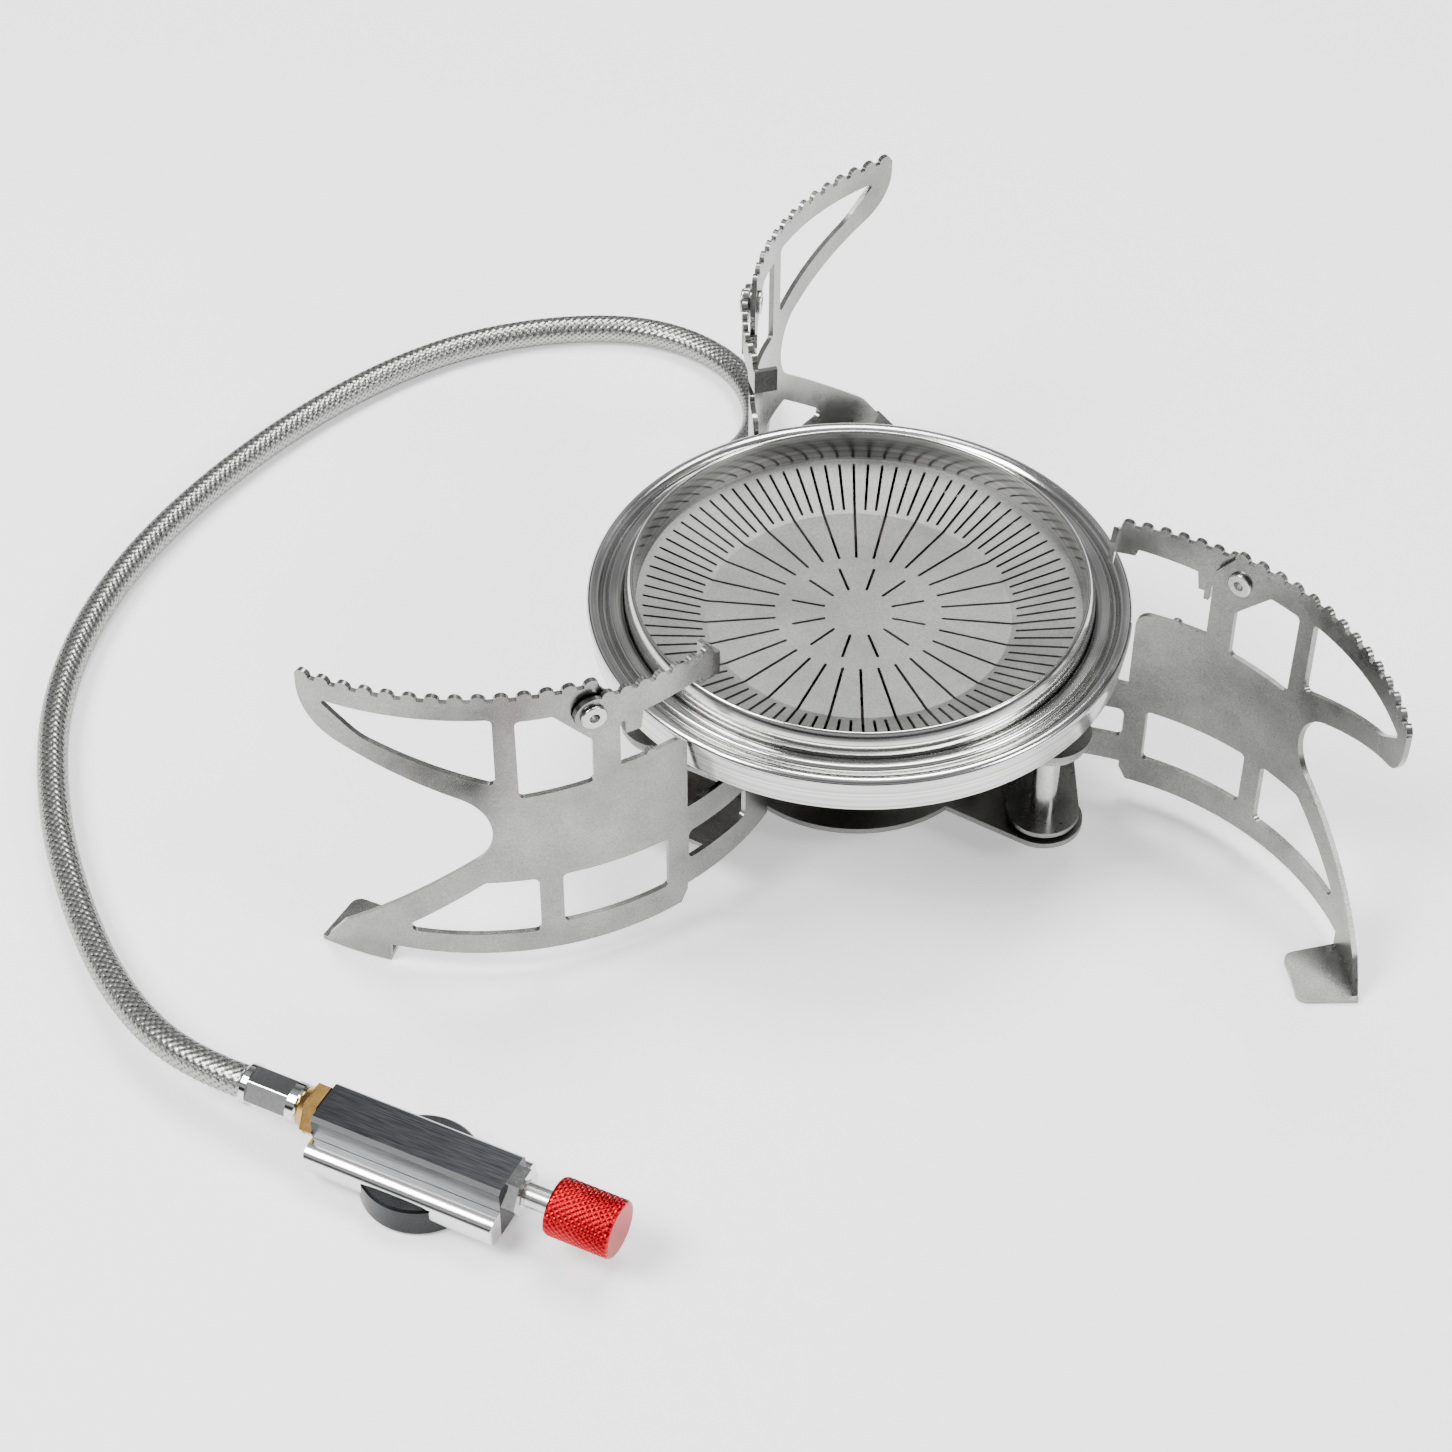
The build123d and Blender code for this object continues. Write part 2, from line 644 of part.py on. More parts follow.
# Hose: braided, from the valve round the back to the burner, lying on the ground
hose_start = tail.offset(ferrule_end).origin
hose_end = inlet.offset(inlet_reach + ferrule_end - ferrule_start).origin
hose_low = hose_diameter / 2
hose_points = [
    (hose_start.X, hose_start.Y, hose_start.Z),
    (-117.2, -83.0, 8.4), (-131.5, -65, 4.6), (-142.5, -42, hose_low), (-151, -16, hose_low),
    (-155, 14, hose_low), (-149.5, 45, hose_low), (-135, 75, hose_low), (-113, 104, hose_low),
    (-88, 125, hose_low), (-62.6, 133.6, hose_low), (-38.4, 133.0, hose_low), (-20.4, 118, 3.2),
    (-16.8, 94.3, 5.0), (-27.8, 75, 9.5), (-28.4, 55.5, 14.0),
    (-24.2, 37.0, 16.2), (hose_end.X, hose_end.Y, hose_end.Z),
]
runs = [Vector(*b) - Vector(*a) for a, b in zip(hose_points, hose_points[1:])]
turns = [a.get_angle(b) for a, b in zip(runs, runs[1:])]
hose_radii = [
    0.45 * min(a.length, b.length) / tan(radians(turn) / 2)
    for a, b, turn in zip(runs, runs[1:], turns)
]
with BuildPart() as hose:
    with BuildLine() as hose_path:
        FilletPolyline(*hose_points, radius=hose_radii)
    with BuildSketch(Plane(origin=hose_start, z_dir=runs[0])):
        Circle(hose_diameter / 2)
    sweep(path=hose_path.wires()[0])
save(hose, "hose")
hose_length = hose_path.wires()[0].length
print("hose bend radii", [round(r, 1) for r in hose_radii])
print("hose length", round(hose_length, 1))
print("hose volume", round(hose.part.volume, 1), pi * hose_low**2 * hose_length)
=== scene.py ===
import json
import math

import bmesh
import bpy
import numpy as np
from mathutils import Matrix, Vector


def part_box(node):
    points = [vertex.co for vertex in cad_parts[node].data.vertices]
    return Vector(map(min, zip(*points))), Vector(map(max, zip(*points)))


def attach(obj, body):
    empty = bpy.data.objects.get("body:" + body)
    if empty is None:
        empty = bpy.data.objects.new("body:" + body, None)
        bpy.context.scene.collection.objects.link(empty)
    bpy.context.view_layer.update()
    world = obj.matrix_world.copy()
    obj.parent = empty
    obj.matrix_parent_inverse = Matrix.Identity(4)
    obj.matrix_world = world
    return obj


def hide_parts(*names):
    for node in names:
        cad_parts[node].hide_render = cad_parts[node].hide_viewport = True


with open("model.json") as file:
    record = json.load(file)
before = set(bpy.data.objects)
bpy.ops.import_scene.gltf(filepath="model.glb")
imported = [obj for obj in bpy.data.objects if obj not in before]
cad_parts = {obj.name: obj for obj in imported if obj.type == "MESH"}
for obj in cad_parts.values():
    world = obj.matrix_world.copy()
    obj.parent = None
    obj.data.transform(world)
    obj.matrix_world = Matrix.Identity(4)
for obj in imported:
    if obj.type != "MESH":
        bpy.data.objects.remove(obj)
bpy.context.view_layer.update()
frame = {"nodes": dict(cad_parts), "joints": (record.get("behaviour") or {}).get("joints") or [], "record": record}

bl_info = {
    "name": "Canister Stove",
    "version": (1, 0, 0),
    "blender": (4, 5, 0),
    "location": "3D View > Sidebar > Stove",
    "description": "Finishes the camping stove: braided hose, spun pan, knurled knob and its metals",
    "category": "Object",
}

# The stove's own places, read from the frame, in metres
MM = 0.001
TAU = 2 * math.pi
HOSE_DIAMETER = 6 * MM
HOSE_FLOOR = 3 * MM

# Photographic set: where the viewer stands and how the lens sees
CAMERA_PLACE = (-24.25 * MM, -448.66 * MM, 438.84 * MM)
CAMERA_PITCH = math.radians(90 - 43.75)
CAMERA_ROLL = math.radians(0.33)
SENSOR = 36.0
LENS = 80.99

# The valve block's ridge: half its width across the stem, and the chamfer along its top
BLOCK_HALF = 4.55 * MM
BLOCK_CHAMFER = 0.7 * MM


# ---------------------------------------------------------------- materials

def linear(hex_colour):
    """Turns an sRGB hex colour to the linear values that shaders take."""
    parts = [int(hex_colour[i:i + 2], 16) / 255 for i in (1, 3, 5)]
    return [p / 12.92 if p <= 0.04045 else ((p + 0.055) / 1.055) ** 2.4 for p in parts] + [1.0]


def node(tree, kind, links=None, **settings):
    """Adds one node: settings name its properties, links name its inputs."""
    made = tree.nodes.new(kind)
    for key, value in settings.items():
        setattr(made, key, value)
    for key, value in (links or {}).items():
        if isinstance(value, bpy.types.NodeSocket):
            tree.links.new(value, made.inputs[key])
        else:
            made.inputs[key].default_value = value
    return made


def new_material(name):
    """An empty node material with its output and principled shader."""
    material = bpy.data.materials.new(name)
    material.use_nodes = True
    tree = material.node_tree
    return material, tree, tree.nodes["Principled BSDF"]


def ramp(tree, factor, stops):
    """A colour ramp from (position, hex colour) stops."""
    made = node(tree, "ShaderNodeValToRGB", {"Fac": factor})
    band = made.color_ramp
    while len(band.elements) < len(stops):
        band.elements.new(0.5)
    for element, (place, colour) in zip(band.elements, stops):
        element.position = place
        element.color = linear(colour)
    return made.outputs["Color"]


def span(tree, value, low, high, to_low, to_high):
    """Maps a value from one range to another."""
    return node(tree, "ShaderNodeMapRange", {
        "Value": value, "From Min": low, "From Max": high, "To Min": to_low, "To Max": to_high,
    }).outputs["Result"]


def blasted_metal(name, light, dark, rough, grit_mm=0.35, bump=0.12, metallic=1.0):
    """Metal with a blasted or tumbled grain: soft highlights broken by fine grit."""
    material, tree, shader = new_material(name)
    place = node(tree, "ShaderNodeTexCoord").outputs["Object"]
    cloud = node(tree, "ShaderNodeTexNoise", {
        "Vector": place, "Scale": 1 / (14 * MM), "Detail": 4.0, "Roughness": 0.6}).outputs["Fac"]
    grit = node(tree, "ShaderNodeTexNoise", {
        "Vector": place, "Scale": 1 / (grit_mm * MM), "Detail": 3.0, "Roughness": 0.65}).outputs["Fac"]
    both = node(tree, "ShaderNodeMath", {0: cloud, 1: grit}, operation="MULTIPLY_ADD")
    both.inputs[2].default_value = 0.25
    tree.links.new(ramp(tree, both.outputs[0], [(0.30, dark), (0.68, light)]), shader.inputs["Base Color"])
    tree.links.new(span(tree, cloud, 0.3, 0.7, rough - 0.05, rough + 0.06), shader.inputs["Roughness"])
    bumped = node(tree, "ShaderNodeBump", {"Height": grit, "Strength": bump, "Distance": 0.05 * MM})
    tree.links.new(bumped.outputs["Normal"], shader.inputs["Normal"])
    shader.inputs["Metallic"].default_value = metallic
    return material


def spun_metal(name, light, dark, rough, lines_mm=0.5, bump=0.08):
    """Metal spun on a lathe about the burner's axis: rings that depend on radius alone."""
    material, tree, shader = new_material(name)
    place = node(tree, "ShaderNodeTexCoord").outputs["Object"]
    parts = node(tree, "ShaderNodeSeparateXYZ", {"Vector": place})
    flat = node(tree, "ShaderNodeCombineXYZ", {"X": parts.outputs["X"], "Y": parts.outputs["Y"]})
    radius = node(tree, "ShaderNodeVectorMath", {0: flat.outputs[0]}, operation="LENGTH").outputs["Value"]
    ring = node(tree, "ShaderNodeCombineXYZ", {"X": radius, "Y": parts.outputs["Z"]})
    rings = node(tree, "ShaderNodeTexNoise", {
        "Vector": ring.outputs[0], "Scale": 1 / (lines_mm * MM), "Detail": 3.0}).outputs["Fac"]
    smear = node(tree, "ShaderNodeTexNoise", {
        "Vector": place, "Scale": 1 / (22 * MM), "Detail": 3.0}).outputs["Fac"]
    tree.links.new(ramp(tree, rings, [(0.35, dark), (0.65, light)]), shader.inputs["Base Color"])
    tree.links.new(span(tree, smear, 0.3, 0.7, rough - 0.04, rough + 0.06), shader.inputs["Roughness"])
    bumped = node(tree, "ShaderNodeBump", {"Height": rings, "Strength": bump, "Distance": 0.04 * MM})
    tree.links.new(bumped.outputs["Normal"], shader.inputs["Normal"])
    shader.inputs["Metallic"].default_value = 1.0
    return material


def braid_metal(name, light, dark):
    """Stainless wire braid: the piece's own braid attribute darkens the gaps between strands, which is painted
    shade in the recesses.
    """
    material, tree, shader = new_material(name)
    height = node(tree, "ShaderNodeAttribute", attribute_name="braid").outputs["Fac"]
    place = node(tree, "ShaderNodeTexCoord").outputs["Object"]
    glint = node(tree, "ShaderNodeTexNoise", {
        "Vector": place, "Scale": 1 / (0.4 * MM), "Detail": 2.0}).outputs["Fac"]
    # Low braid height gives near black, painted shade in the gaps; the strand tops keep the wire's own grey
    tree.links.new(ramp(tree, height, [(0.15, dark), (0.65, light)]), shader.inputs["Base Color"])
    tree.links.new(span(tree, glint, 0.3, 0.7, 0.22, 0.42), shader.inputs["Roughness"])
    shader.inputs["Metallic"].default_value = 1.0
    return material


def anodised_block(name, dark, light, polished, place_of, turn_of, half, top):
    """Dark anodised aluminium ridge whose chamfers and lower wings are bare polished metal.

    The block's own frame is found from the object's coordinates: v = Rz(-turn) (p - place).
    The dye is where |v.y| + v.z < half + top - chamfer and |v.y| < half, each edge blurred a
    little. The grain is drawn out along the block, as an extruded bar's die lines are.
    """
    material, tree, shader = new_material(name)
    place = node(tree, "ShaderNodeTexCoord").outputs["Object"]
    moved = node(tree, "ShaderNodeVectorMath", {0: place, 1: place_of}, operation="SUBTRACT").outputs[0]
    own = node(tree, "ShaderNodeVectorRotate", {"Vector": moved, "Angle": -turn_of},
               rotation_type="Z_AXIS").outputs["Vector"]
    parts = node(tree, "ShaderNodeSeparateXYZ", {"Vector": own})
    across = node(tree, "ShaderNodeMath", {0: parts.outputs["Y"]}, operation="ABSOLUTE").outputs[0]
    corner = node(tree, "ShaderNodeMath", {0: across, 1: parts.outputs["Z"]}, operation="ADD").outputs[0]
    die_lines = (1 / (6 * MM), 1 / (0.25 * MM), 1 / (0.25 * MM))
    stretched = node(tree, "ShaderNodeVectorMath", {0: own, 1: die_lines}, operation="MULTIPLY").outputs[0]
    grain = node(tree, "ShaderNodeTexNoise", {
        "Vector": stretched, "Scale": 1.0, "Detail": 3.0}).outputs["Fac"]
    tone = ramp(tree, grain, [(0.3, dark), (0.7, light)])
    edge = half + top - BLOCK_CHAMFER
    on_chamfer = span(tree, corner, edge - 0.02 * MM, edge + 0.04 * MM, 1.0, 0.0)
    on_ridge = span(tree, across, half + 0.02 * MM, half + 0.12 * MM, 1.0, 0.0)
    dyed = node(tree, "ShaderNodeMath", {0: on_chamfer, 1: on_ridge}, operation="MULTIPLY").outputs[0]
    both = node(tree, "ShaderNodeMix", {"Factor": dyed}, data_type="RGBA")
    both.inputs[6].default_value = linear(polished)
    tree.links.new(tone, both.inputs[7])
    tree.links.new(both.outputs[2], shader.inputs["Base Color"])
    tree.links.new(span(tree, dyed, 0, 1, 0.16, 0.34), shader.inputs["Roughness"])
    bumped = node(tree, "ShaderNodeBump", {"Height": grain, "Strength": 0.06, "Distance": 0.03 * MM})
    tree.links.new(bumped.outputs["Normal"], shader.inputs["Normal"])
    shader.inputs["Metallic"].default_value = 1.0
    return material


# ---------------------------------------------------------------- surfaces

def grid_object(name, points, close_around=True, capped=False):
    """A mesh from an (along, around, 3) array of points, joined round its second direction.

    A capped one has a flat face over its first and its last ring.
    """
    along, around = points.shape[:2]
    index = np.arange(along * around).reshape(along, around)
    rings = index[[0, -1]].tolist() if capped else []
    if close_around:
        index = np.concatenate([index, index[:, :1]], axis=1)
    quads = np.stack([index[:-1, :-1], index[:-1, 1:], index[1:, 1:], index[1:, :-1]], axis=-1)
    quads = quads.reshape(-1, 4)
    mesh = bpy.data.meshes.new(name)
    mesh.from_pydata(points.reshape(-1, 3).tolist(), [], quads.tolist() + rings)
    mesh.polygons.foreach_set("use_smooth", np.arange(len(mesh.polygons)) < len(quads))
    made = bpy.data.objects.new(name, mesh)
    bpy.context.scene.collection.objects.link(made)
    return made


def lathe(name, profile, steps=360):
    """Turns a closed loop of (radius, height) points about the burner's axis.

    Each point of the loop is carried round at its own radius: (r cos t, r sin t, z).
    """
    loop = np.array(list(profile) + [profile[0]]) * MM
    turn = np.linspace(0, TAU, steps, endpoint=False)
    points = np.stack([
        loop[:, :1] * np.cos(turn), loop[:, :1] * np.sin(turn),
        np.repeat(loop[:, 1:], steps, axis=1)], axis=-1)
    made = grid_object(name, points)
    tidy_normals(made)
    return made


def tidy_normals(made):
    """Merges doubled points and turns the faces outwards."""
    work = bmesh.new()
    work.from_mesh(made.data)
    bmesh.ops.remove_doubles(work, verts=work.verts, dist=1e-7)
    bmesh.ops.recalc_face_normals(work, faces=work.faces)
    work.to_mesh(made.data)
    work.free()


def rounded(corners, steps=5):
    """Rounds each corner (x, y, radius) of a closed outline with a quadratic curve."""
    out = []
    count = len(corners)
    for i, (x, y, r) in enumerate(corners):
        here = np.array([x, y])
        if r == 0:
            out.append(tuple(here))
            continue
        before = np.array(corners[i - 1][:2]) - here
        after = np.array(corners[(i + 1) % count][:2]) - here
        a = here + before / np.linalg.norm(before) * min(r, np.linalg.norm(before) / 2)
        b = here + after / np.linalg.norm(after) * min(r, np.linalg.norm(after) / 2)
        t = np.linspace(0, 1, steps)[:, None]
        out += [tuple(p) for p in (1 - t) ** 2 * a + 2 * t * (1 - t) * here + t ** 2 * b]
    return out


def give(made, material):
    """Puts one material on a piece."""
    made.data.materials.clear()
    made.data.materials.append(material)


def finish_node(name, material):
    """Puts a material on every slot of a CAD node."""
    piece = frame["nodes"][name]
    if not piece.data.materials:
        piece.data.materials.append(material)
    for slot in piece.material_slots:
        slot.material = material


# ---------------------------------------------------------------- settings

class StoveSizes(bpy.types.PropertyGroup):
    """Sizes that a user would change."""
    strand_count: bpy.props.IntProperty(
        name="Braid strands", description="Strands of wire wound each way round the hose", default=12,
        min=4)
    braid_pitch: bpy.props.FloatProperty(
        name="Braid pitch", description="Length of hose in which a strand goes round once",
        default=19 * MM, unit="LENGTH")
    braid_relief: bpy.props.FloatProperty(
        name="Braid relief", description="How far a strand stands above the gaps", default=0.34 * MM,
        unit="LENGTH")
    knurl_count: bpy.props.IntProperty(
        name="Knurls", description="Knurl ridges round the knob each way", default=26, min=6)
    knurl_depth: bpy.props.FloatProperty(
        name="Knurl depth", description="Depth of the knob's knurl", default=0.35 * MM, unit="LENGTH")


class StoveColours(bpy.types.PropertyGroup):
    """Colours that a user would change, as sRGB hex values."""
    blasted: bpy.props.StringProperty(name="Legs", description="Satin stainless sheet", default="#9E9E9C")
    polished: bpy.props.StringProperty(name="Pan", description="Polished stainless", default="#D6D6D4")
    knob: bpy.props.StringProperty(name="Knob", description="Red anodised aluminium", default="#B3121F")
    block: bpy.props.StringProperty(
        name="Valve block", description="Dark anodised aluminium", default="#3F4043")
    brass: bpy.props.StringProperty(name="Brass", description="Machined brass", default="#C9A66B")


# ---------------------------------------------------------------- operators

def stem_line():
    """The valve stem's direction and the knob's middle on it, from the joint that turns it."""
    joint = next(j for j in frame["joints"] if j["name"] == "knob_turn")
    return Vector(joint["axis"]).normalized(), Vector(joint["pos_m"])


class STOVE_OT_camera(bpy.types.Operator):
    """Places the camera"""
    bl_idname = "stove.camera"
    bl_label = "Camera"

    def execute(self, context):
        lens = bpy.data.cameras.new("camera")
        lens.lens = LENS
        lens.sensor_width = SENSOR
        lens.clip_start = 0.01
        camera = bpy.data.objects.new("camera", lens)
        context.scene.collection.objects.link(camera)
        camera.location = CAMERA_PLACE
        turned = Matrix.Rotation(CAMERA_PITCH, 3, "X") @ Matrix.Rotation(CAMERA_ROLL, 3, "Z")
        camera.rotation_euler = turned.to_euler()
        context.scene.camera = camera
        return {"FINISHED"}


class STOVE_OT_hose(bpy.types.Operator):
    """Makes the braided hose along its route"""
    bl_idname = "stove.hose"
    bl_label = "Braided hose"

    def execute(self, context):
        sizes = context.scene.stove_sizes
        route = hose_route()
        path = spline_points(route)
        made = braided_tube("hose_braid", path, sizes)
        # Bright drawn wire with glints on the strands; the near black between them is painted shade in the gaps
        give(made, braid_metal("stainless_wire_braid_gap_shade", "#9C9C9A", "#121212"))
        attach(made, "root")
        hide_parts("hose")
        return {"FINISHED"}


def hose_route():
    """The hose's route from the valve's ferrule to the burner's, as its control points."""
    floor = HOSE_FLOOR / MM
    return [Vector(p) * MM for p in (
        (-105.48, -88.57, 9.3), (-117.2, -83.0, 8.4), (-131.5, -65, 4.6), (-142.5, -42, floor),
        (-151, -16, floor), (-155, 14, floor), (-149.5, 45, floor), (-135, 75, floor),
        (-113, 104, floor), (-88, 125, floor), (-62.6, 133.6, floor), (-38.4, 133.0, floor),
        (-20.4, 118, 3.2), (-16.8, 94.3, 5.0), (-27.8, 75, 9.5), (-28.4, 55.5, 14.0),
        (-24.2, 37.0, 16.2), (-14.34, 20.48, 16.0))]


def spline_points(route):
    """Points read from the smooth spline that has the route as its control points."""
    curve = bpy.data.curves.new("route", "CURVE")
    curve.dimensions = "3D"
    curve.resolution_u = 60
    line = curve.splines.new("NURBS")
    line.points.add(len(route) - 1)
    for point, place in zip(line.points, route):
        point.co = (*place, 1)
    line.order_u = 3
    line.use_endpoint_u = True
    holder = bpy.data.objects.new("route", curve)
    bpy.context.scene.collection.objects.link(holder)
    bpy.context.view_layer.update()
    mesh = bpy.data.meshes.new_from_object(holder)
    points = np.array([v.co for v in mesh.vertices])
    bpy.data.objects.remove(holder)
    bpy.data.curves.remove(curve)
    bpy.data.meshes.remove(mesh)
    return points


def resample(points, step):
    """Points at even distances along a line."""
    lengths = np.linalg.norm(np.diff(points, axis=0), axis=1)
    gone = np.concatenate([[0], np.cumsum(lengths)])
    even = np.linspace(0, gone[-1], max(2, int(round(gone[-1] / step))))
    return even, np.stack([np.interp(even, gone, points[:, k]) for k in range(3)], axis=1)


def braided_tube(name, path, sizes, around=66, step=0.36 * MM):
    """Carries a circle along the path and raises it where a strand lies on top.

    Strands wind both ways: with n strands and pitch p the phases are a = n/2 (t + 2 pi s/p) and
    b = n/2 (t - 2 pi s/p), and o = tanh(3 cos a cos b) says which one is on top. The height is
    max(|cos a| (0.72 + 0.28 o), |cos b| (0.72 - 0.28 o)), and the relief scales it.
    """
    along, centre = resample(path, step)
    tangent = np.gradient(centre, axis=0)
    tangent /= np.linalg.norm(tangent, axis=1)[:, None]
    up = np.array([0.0, 0.0, 1.0])
    side = np.cross(tangent, up)
    side /= np.linalg.norm(side, axis=1)[:, None]
    lift = np.cross(side, tangent)
    t = np.linspace(0, TAU, around, endpoint=False)[None, :]
    s = along[:, None] / sizes.braid_pitch * TAU
    half = sizes.strand_count / 2
    first = half * (t + s)
    second = half * (t - s)
    over = np.tanh(3 * np.cos(first) * np.cos(second))
    height = np.maximum(np.abs(np.cos(first)) * (0.72 + 0.28 * over),
                        np.abs(np.cos(second)) * (0.72 - 0.28 * over))
    radius = HOSE_DIAMETER / 2 - sizes.braid_relief * (1 - height)
    ring = side[:, None, :] * np.cos(t)[..., None] + lift[:, None, :] * np.sin(t)[..., None]
    points = centre[:, None, :] + ring * radius[..., None]
    made = grid_object(name, points, capped=True)
    # The strand height is kept for the material, which paints shade into the low gaps from it
    shade = made.data.attributes.new("braid", "FLOAT", "POINT")
    shade.data.foreach_set("value", ((height - height.min()) / np.ptp(height)).ravel())
    tidy_normals(made)
    return made


class STOVE_OT_pan(bpy.types.Operator):
    """Makes the spun wind pan and the burner's head wall"""
    bl_idname = "stove.pan"
    bl_label = "Wind pan and head"

    def execute(self, context):
        colours = context.scene.stove_colours
        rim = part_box("wind_pan")[1]
        wide, high = rim.x / MM, rim.z / MM
        pan = lathe("wind_pan_spun", rounded((
            (wide - 7.0, high - 3.2, 0), (wide - 6.1, high - 3.2, 0.2), (wide - 6.1, high - 1.9, 0.2),
            (wide - 5.6, high - 1.3, 0.3), (wide - 4.2, high - 1.3, 0.2), (wide - 3.9, high - 2.4, 0.2),
            (wide - 2.8, high - 2.4, 0.2), (wide - 2.5, high - 1.4, 0.2), (wide - 1.1, high - 1.4, 0.2),
            (wide - 0.9, high - 1.9, 0.2), (wide - 1.5, high - 7.3, 0.2), (wide - 0.7, high - 7.3, 0.3),
            (wide, high - 1.3, 0.8), (wide - 0.2, high - 0.5, 0.5), (wide - 1.0, high, 0.6),
            (wide - 2.1, high - 0.2, 0.4), (wide - 2.9, high - 0.9, 0.4), (wide - 3.1, high - 1.5, 0.15),
            (wide - 3.6, high - 1.5, 0.15), (wide - 3.9, high - 0.7, 0.4), (wide - 4.3, high - 0.3, 0.3),
            (wide - 5.8, high - 0.3, 0.3), (wide - 6.7, high - 0.8, 0.3), (wide - 7.0, high - 1.6, 0))))
        head_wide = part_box("head_ring")[1].x / MM
        head_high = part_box("head_ring")[1].z / MM
        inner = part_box("burner_plate")[1].x / MM
        head = lathe("head_wall_spun", rounded((
            (inner, head_high - 15, 0), (head_wide - 0.6, head_high - 15, 0.3),
            (head_wide, head_high - 7.5, 0.6), (head_wide, head_high - 2.4, 1.2),
            (head_wide - 0.7, head_high - 0.7, 0.7), (head_wide - 1.3, head_high, 0.4),
            (head_wide - 1.7, head_high - 0.4, 0.3), (head_wide - 1.9, head_high - 6.0, 0.4),
            (inner, head_high - 6.5, 0))))
        # Spun and polished stainless: mirror-like bands that run round with the shape
        polished = spun_metal("polished_stainless_spun", colours.polished, "#A9A9A7", 0.15)
        for piece, target in ((pan, "wind_pan"), (head, "head_ring")):
            give(piece, polished)
            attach(piece, "root")
            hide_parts(target)
        return {"FINISHED"}


class STOVE_OT_knob(bpy.types.Operator):
    """Makes the knurled knob"""
    bl_idname = "stove.knob"
    bl_label = "Knurled knob"

    def execute(self, context):
        sizes = context.scene.stove_sizes
        colours = context.scene.stove_colours
        axis, pivot = stem_line()
        made = knurled_knob("knob_knurled", pivot, axis, sizes)
        # Knurled, then anodised: saturated red with small glints on the ridges
        give(made, blasted_metal("red_anodised_aluminium", colours.knob, "#8E0C17", 0.28, 0.25, 0.05))
        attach(made, "knob")
        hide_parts("knob")
        return {"FINISHED"}


def knurled_knob(name, pivot, axis, sizes):
    """A turned grip along the stem with a diamond knurl, and a plain bevelled front.

    At distance x and angle t the radius is R(x) - d max(0, 1 - 1.6 min(|sin(n t + x/p)|,
    |sin(n t - x/p)|)) on the grip, so two sets of grooves of depth d cross and leave diamonds.
    """
    start, end, full, bevel = -4 * MM, 8 * MM, 5.15 * MM, 0.7 * MM
    grip = np.linspace(start + bevel, end - bevel, 70)
    places = np.concatenate([[start, start + bevel / 4], grip, [end - bevel / 4, end]])
    radii = np.concatenate([[full - bevel, full - bevel / 4], np.full(len(grip), full),
                            [full - bevel / 4, full - bevel]])
    t = np.linspace(0, TAU, 8 * sizes.knurl_count, endpoint=False)[None, :]
    along = places[:, None] * sizes.knurl_count / (2 * full)
    turn = sizes.knurl_count * t / 2
    groove = 1 - 1.6 * np.minimum(np.abs(np.sin(turn + along)), np.abs(np.sin(turn - along)))
    on_grip = ((places >= start + bevel) & (places <= end - bevel))[:, None]
    radius = radii[:, None] - np.clip(groove, 0, 1) * sizes.knurl_depth * on_grip
    side = axis.cross(Vector((0, 0, 1))).normalized()
    lift = side.cross(axis)
    ring = np.array(side) * np.cos(t)[..., None] + np.array(lift) * np.sin(t)[..., None]
    points = np.array(pivot) + np.array(axis) * places[:, None, None] + ring * radius[..., None]
    made = grid_object(name, points, capped=True)
    tidy_normals(made)
    return made


class STOVE_OT_metals(bpy.types.Operator):
    """Gives every carried-over part its metal"""
    bl_idname = "stove.metals"
    bl_label = "Metals and seals"

    def execute(self, context):
        colours = context.scene.stove_colours
        low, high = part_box("valve_body")
        centre = ((low.x + high.x) / 2, (low.y + high.y) / 2, 0)
        stem = stem_line()[0]
        finishes = {
            # Rolled stainless sheet, tumbled after stamping: a grey satin with soft cloudy shine
            "leg_steel": blasted_metal(
                "satin_stainless_sheet", colours.blasted, "#686866", 0.27, 0.35, 0.08),
            # Rolled stainless, pressed to a dish: duller and evenly mottled
            "burner_steel": blasted_metal("rolled_stainless_plate", "#9A9A98", "#6C6C6A", 0.54, 0.4, 0.06),
            # Stamped stainless, unfinished: its base colour is darker as painted shade, for its place out of the
            # light under the pan
            "bracket_steel": blasted_metal("stamped_stainless_painted_shade", "#8E8E8C", "#626260", 0.34),
            # Turned stainless: bright, with sharp reflections
            "polished_steel": blasted_metal("turned_stainless", "#D0D0CE", "#A8A8A6", 0.2, 0.6, 0.04),
            # Stainless after burning: brown-grey and dull, and darkened further as painted shade so that the
            # plate's slots look dark
            "heat_stained_steel": blasted_metal("heat_stain_and_painted_shade_stainless", "#4C453E", "#26221F", 0.42),
            # Extruded, dyed and then faced: dark ridge with bright edges and wings
            "dark_anodised": anodised_block("dark_anodised_aluminium", "#242527", colours.block, "#D9D9D8",
                                            centre, math.atan2(stem.y, stem.x), BLOCK_HALF, high.z),
            # Turned brass: warm and bright
            "brass": blasted_metal("machined_brass", colours.brass, "#A07838", 0.25, 0.5, 0.04),
            # Chromed crimp sleeves and nut: near mirror
            "chrome": blasted_metal("chromed_steel", "#E0E0E0", "#BDBDBD", 0.1, 0.8, 0.02),
            # Moulded rubber: black and matt
            "rubber": blasted_metal("nitrile_rubber", "#1A1A1A", "#101010", 0.6, 0.3, 0.1, 0.0),
            "braided_steel": None, "red_anodised": None,
        }
        for part in frame["record"]["subparts"]:
            material = finishes[part["material_slot"]]
            if material is not None:
                finish_node(part["node"], material)
        # Turned and dyed like the block, without bare edges
        finish_node("canister_collar", blasted_metal("dark_turned_aluminium", "#3C3D3F", "#242526", 0.3))
        return {"FINISHED"}


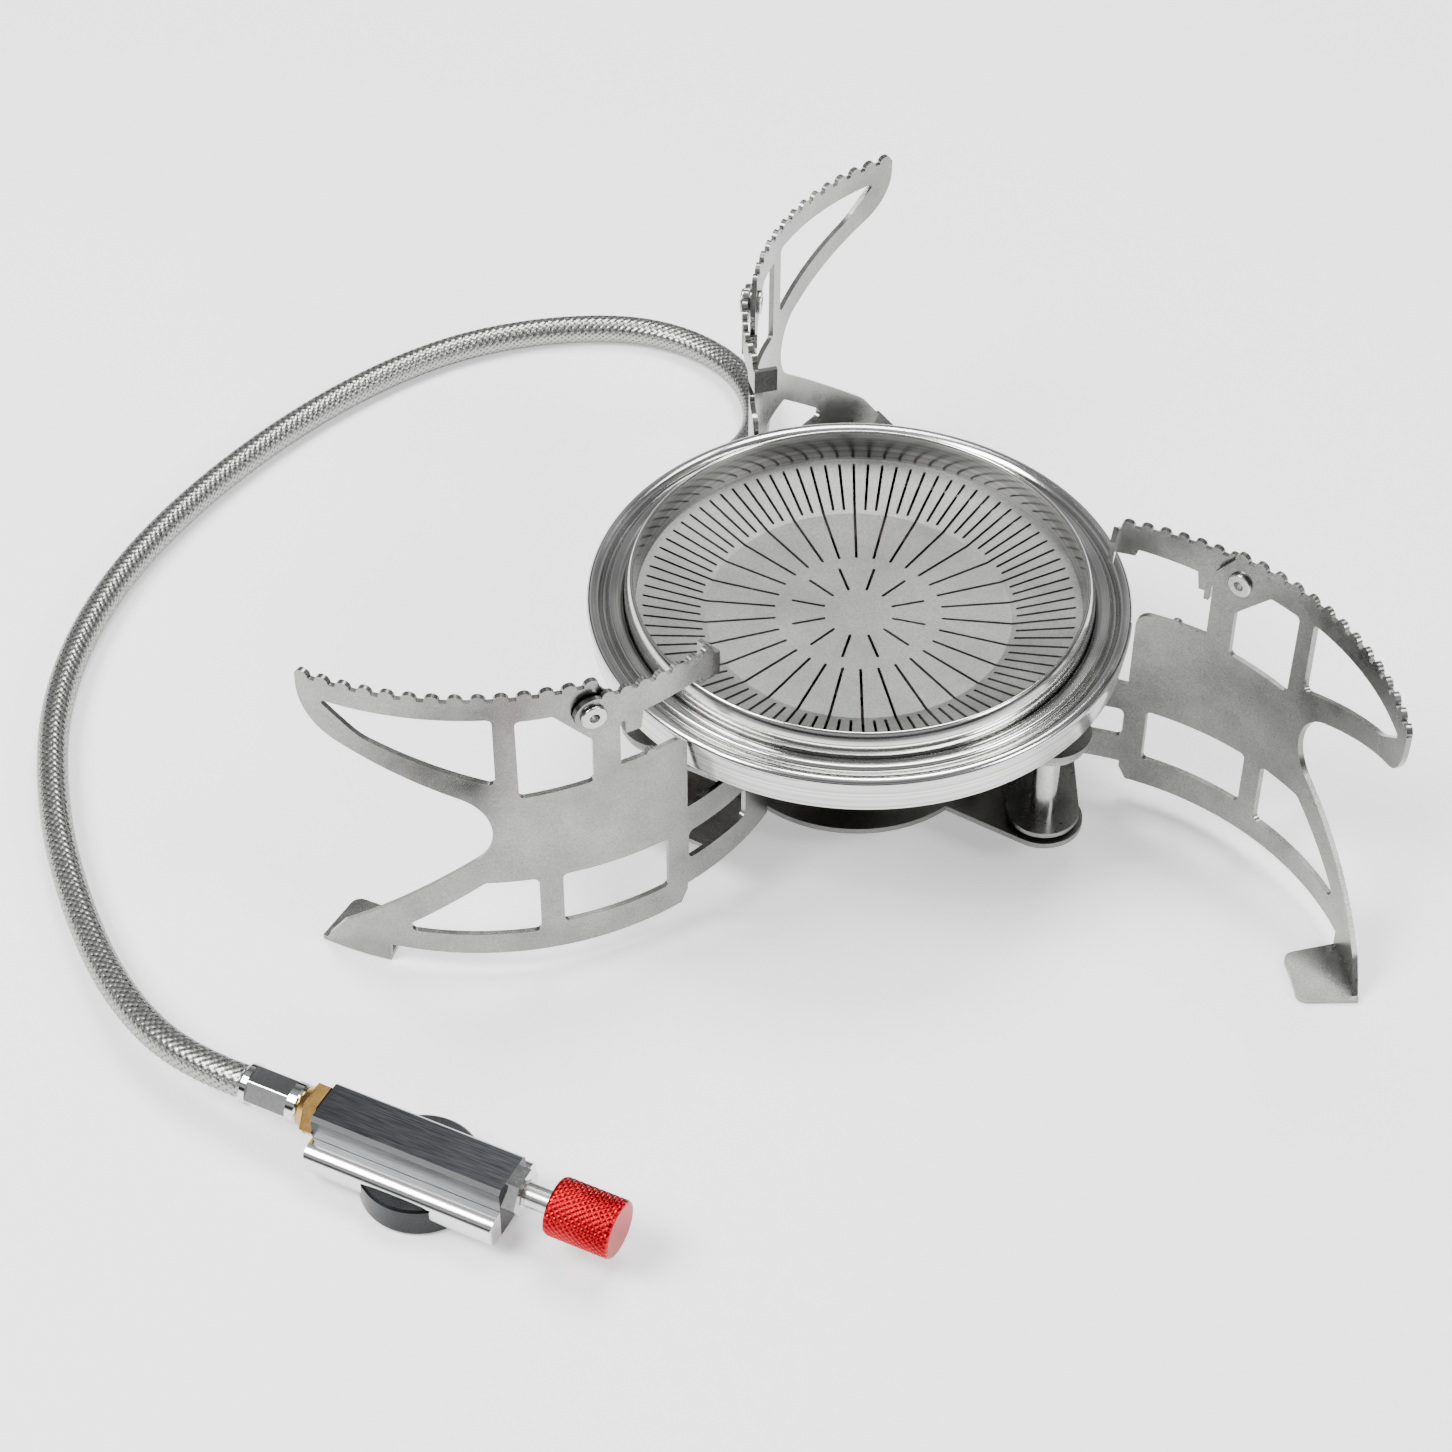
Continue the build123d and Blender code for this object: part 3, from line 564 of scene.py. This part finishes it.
class STOVE_OT_stage(bpy.types.Operator):
    """Sets the pale floor and the soft studio light"""
    bl_idname = "stove.stage"
    bl_label = "Floor and light"

    def execute(self, context):
        extent = np.linspace(-3, 3, 13)
        across, depth = np.meshgrid(extent, extent, indexing="ij")
        sag = np.full_like(across, -0.0002)
        floor = grid_object("floor", np.stack([across, depth, sag], axis=-1), close_around=False)
        tidy_normals(floor)
        give(floor, pale_floor())
        world = bpy.data.worlds.new("studio")
        world.use_nodes = True
        # Soft boxes and dark gaps by height above the horizon, which give the metals their bands
        sky = world.node_tree
        facing = node(sky, "ShaderNodeTexCoord").outputs["Generated"]
        height = node(sky, "ShaderNodeSeparateXYZ", {"Vector": facing}).outputs["Z"]
        band = ramp(sky, height, [
            (0.06, "#E2E3E4"), (0.12, "#2E2E30"), (0.30, "#4A4A4C"), (0.42, "#E4E5E6"),
            (0.60, "#9A9B9C"), (0.78, "#7A7B7C"), (1.0, "#F2F3F4")])
        sky.links.new(band, sky.nodes["Background"].inputs["Color"])
        sky.nodes["Background"].inputs["Strength"].default_value = 0.9
        context.scene.world = world
        lamps = (
            ("key", (-0.7, -0.25, 0.9), 0.5, 22), ("fill", (0.9, -0.45, 0.7), 0.35, 9),
            ("back", (0.15, 0.45, 1.15), 0.5, 16),
        )
        for name, place, size, power in lamps:
            light = bpy.data.lights.new(name, "AREA")
            light.size = size
            light.energy = power
            lamp = bpy.data.objects.new(name, light)
            context.scene.collection.objects.link(lamp)
            lamp.location = place
            lamp.rotation_euler = (Vector((0, 0, 0.03)) - Vector(place)).to_track_quat("-Z", "Y").to_euler()
        return {"FINISHED"}


def pale_floor():
    """Matt white studio paper with a faint tooth, lit a little from behind so that it stays white."""
    material, tree, shader = new_material("backlit_white_paper")
    place = node(tree, "ShaderNodeTexCoord").outputs["Object"]
    tooth = node(tree, "ShaderNodeTexNoise", {"Vector": place, "Scale": 400.0}).outputs["Fac"]
    tree.links.new(ramp(tree, tooth, [(0.3, "#F2F2F2"), (0.7, "#F6F6F6")]), shader.inputs["Base Color"])
    shader.inputs["Roughness"].default_value = 0.9
    shader.inputs["Emission Color"].default_value = linear("#FFFFFF")
    shader.inputs["Emission Strength"].default_value = 0.5
    return material


class STOVE_PT_panel(bpy.types.Panel):
    """Lists the stove's steps"""
    bl_idname = "STOVE_PT_panel"
    bl_label = "Canister stove"
    bl_space_type = "VIEW_3D"
    bl_region_type = "UI"
    bl_category = "Stove"

    def draw(self, context):
        for operator in OPERATORS:
            self.layout.operator(operator.bl_idname)


OPERATORS = (STOVE_OT_camera, STOVE_OT_hose, STOVE_OT_pan, STOVE_OT_knob, STOVE_OT_metals, STOVE_OT_stage)
CLASSES = (StoveSizes, StoveColours, *OPERATORS, STOVE_PT_panel)


def register():
    for item in CLASSES:
        bpy.utils.register_class(item)
    bpy.types.Scene.stove_sizes = bpy.props.PointerProperty(type=StoveSizes)
    bpy.types.Scene.stove_colours = bpy.props.PointerProperty(type=StoveColours)


def unregister():
    del bpy.types.Scene.stove_colours
    del bpy.types.Scene.stove_sizes
    for item in reversed(CLASSES):
        bpy.utils.unregister_class(item)


def main():
    register()
    for operator in OPERATORS:
        group, step = operator.bl_idname.split(".")
        getattr(getattr(bpy.ops, group), step)()


if __name__ == "__main__":
    main()
